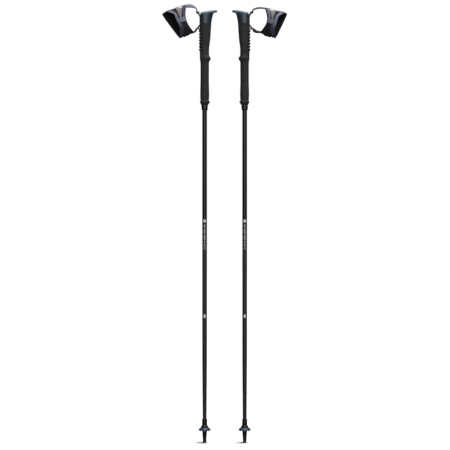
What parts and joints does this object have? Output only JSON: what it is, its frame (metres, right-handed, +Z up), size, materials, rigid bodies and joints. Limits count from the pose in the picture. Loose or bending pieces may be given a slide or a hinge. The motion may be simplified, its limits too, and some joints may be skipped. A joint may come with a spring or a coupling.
{
  "type": "trekking poles",
  "caption": "Pair of fixed-length carbon trekking poles with beaked caps, ridged foam grips, click-in hand straps, small scalloped baskets and rubber tips.",
  "frame": {"origin": "on the floor, midway between the feet of the two poles, in the poles' common mid-plane", "axes": "+Z up along the shafts; +X from the left pole to the right pole; +Y away from the side that shows the closure tabs"},
  "size_m": [0.3476, 0.0572, 1.2147],
  "materials": {
    "carbon": "clear-coated carbon fibre laminate, satin below the grip section",
    "head": "glossy moulded nylon",
    "cap": "soft satin moulded rubberised plastic",
    "button": "satin moulded plastic",
    "moulded": "moulded nylon",
    "foam": "fine closed-cell EVA foam",
    "webbing": "knitted and woven polyester binding",
    "dark_fabric": "soft stretch fabric",
    "tab_fabric": "brushed hook-and-loop backed fabric",
    "basket": "satin moulded plastic",
    "steel": "plain",
    "rubber": "moulded"
  },
  "bodies": {
    "left_pole": {"left_shaft": "carbon", "left_shaft_plug": "moulded", "left_grip_head": "head", "left_grip_cap": "cap", "left_button_spring": "steel", "left_grip_foam": "foam", "left_extension_foam": "foam", "left_foam_collar": "head", "left_ferrule": "moulded", "left_tip_collar": "moulded"},
    "left_button": {"left_release_button": "button", "left_latch_plate": "steel"},
    "left_plug": {"left_strap_plug": "moulded"},
    "left_strap": {"left_upper_band": "webbing", "left_lower_band": "dark_fabric", "left_wrist_cuff": "dark_fabric", "left_cuff_binding": "webbing"},
    "left_tab": {"left_closure_tab": "tab_fabric"},
    "left_basket": {"left_basket": "basket"},
    "left_tip": {"left_tip_stud": "steel", "left_rubber_tip": "rubber"},
    "right_pole": {"right_shaft": "carbon", "right_shaft_plug": "moulded", "right_grip_head": "head", "right_grip_cap": "cap", "right_button_spring": "steel", "right_grip_foam": "foam", "right_extension_foam": "foam", "right_foam_collar": "head", "right_ferrule": "moulded", "right_tip_collar": "moulded"},
    "right_button": {"right_release_button": "button", "right_latch_plate": "steel"},
    "right_plug": {"right_strap_plug": "moulded"},
    "right_strap": {"right_upper_band": "webbing", "right_lower_band": "dark_fabric", "right_wrist_cuff": "dark_fabric", "right_cuff_binding": "webbing"},
    "right_tab": {"right_closure_tab": "tab_fabric"},
    "right_basket": {"right_basket": "basket"},
    "right_tip": {"right_tip_stud": "steel", "right_rubber_tip": "rubber"}
  },
  "joints": [
    {"name": "left_button_press", "type": "slide", "parent": "left_pole", "child": "left_button", "axis": [0, 0, -1], "range_m": [0, 0.0022], "stiffness_N_per_m": 400, "springref_m": -0.003, "deforming": ["left_button_spring"]},
    {"name": "left_strap_release", "type": "slide", "parent": "left_pole", "child": "left_plug", "axis": [-1, 0, 0], "range_m": [0, 0.02]},
    {"name": "left_strap_swing", "type": "hinge", "parent": "left_plug", "child": "left_strap", "pos_m": [-0.0739, 0, 1.165], "axis": [0, 0, 1], "range_deg": [-60, 60]},
    {"name": "left_tab_peel", "type": "hinge", "parent": "left_strap", "child": "left_tab", "pos_m": [-0.12528, -0.01314, 1.20148], "axis": [-0.9352, -0.1822, -0.3035], "range_deg": [0, 100]},
    {"name": "left_basket_turn", "type": "hinge", "parent": "left_pole", "child": "left_basket", "pos_m": [-0.0555, 0, 0.038], "axis": [0, 0, 1], "continuous": true},
    {"name": "left_tip_turn", "type": "hinge", "parent": "left_pole", "child": "left_tip", "pos_m": [-0.0555, 0, 0.014], "axis": [0, 0, 1], "continuous": true},
    {"name": "right_button_press", "type": "slide", "parent": "right_pole", "child": "right_button", "axis": [0, 0, -1], "range_m": [0, 0.0022], "stiffness_N_per_m": 400, "springref_m": -0.003, "deforming": ["right_button_spring"]},
    {"name": "right_strap_release", "type": "slide", "parent": "right_pole", "child": "right_plug", "axis": [1, 0, 0], "range_m": [0, 0.02]},
    {"name": "right_strap_swing", "type": "hinge", "parent": "right_plug", "child": "right_strap", "pos_m": [0.0739, 0, 1.165], "axis": [0, 0, 1], "range_deg": [-60, 60]},
    {"name": "right_tab_peel", "type": "hinge", "parent": "right_strap", "child": "right_tab", "pos_m": [0.13211, -0.01437, 1.1944], "axis": [-0.9532, 0.1583, 0.2577], "range_deg": [0, 100]},
    {"name": "right_basket_turn", "type": "hinge", "parent": "right_pole", "child": "right_basket", "pos_m": [0.0555, 0, 0.038], "axis": [0, 0, 1], "continuous": true},
    {"name": "right_tip_turn", "type": "hinge", "parent": "right_pole", "child": "right_tip", "pos_m": [0.0555, 0, 0.014], "axis": [0, 0, 1], "continuous": true},
    {"name": "right_pole_lift", "type": "slide", "parent": "left_pole", "child": "right_pole", "axis": [0, 0, 1], "range_m": [0, 0.25]}
  ]
}
